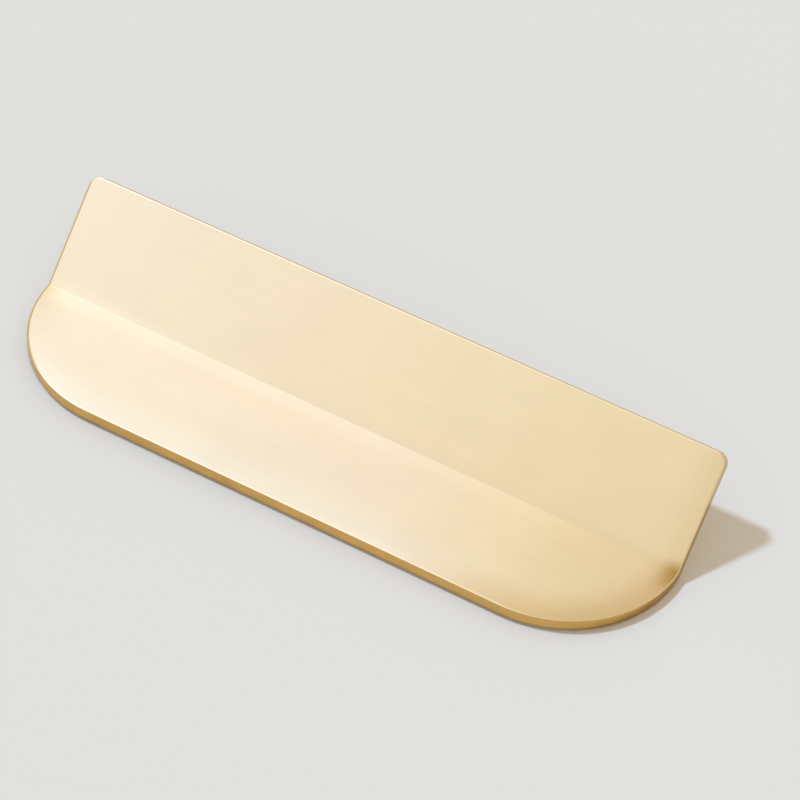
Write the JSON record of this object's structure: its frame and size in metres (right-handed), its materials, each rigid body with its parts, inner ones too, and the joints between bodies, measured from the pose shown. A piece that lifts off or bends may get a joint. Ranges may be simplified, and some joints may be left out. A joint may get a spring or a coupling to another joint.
{
  "type": "edge pull handle",
  "caption": "Folded brass plate pull with a D-shaped back plate, an angled finger lip and blind tapped holes on the door side.",
  "frame": {"origin": "on the face that meets the door, midway between the two tapped holes", "axes": "+X along the fold, +Y from the rounded edge towards the lip, +Z away from the door"},
  "size_m": [0.16, 0.0492, 0.0228],
  "materials": {
    "satin_brass": "satin, brushed along the length"
  },
  "bodies": {
    "root": {"pull_plate": "satin_brass"}
  },
  "joints": []
}
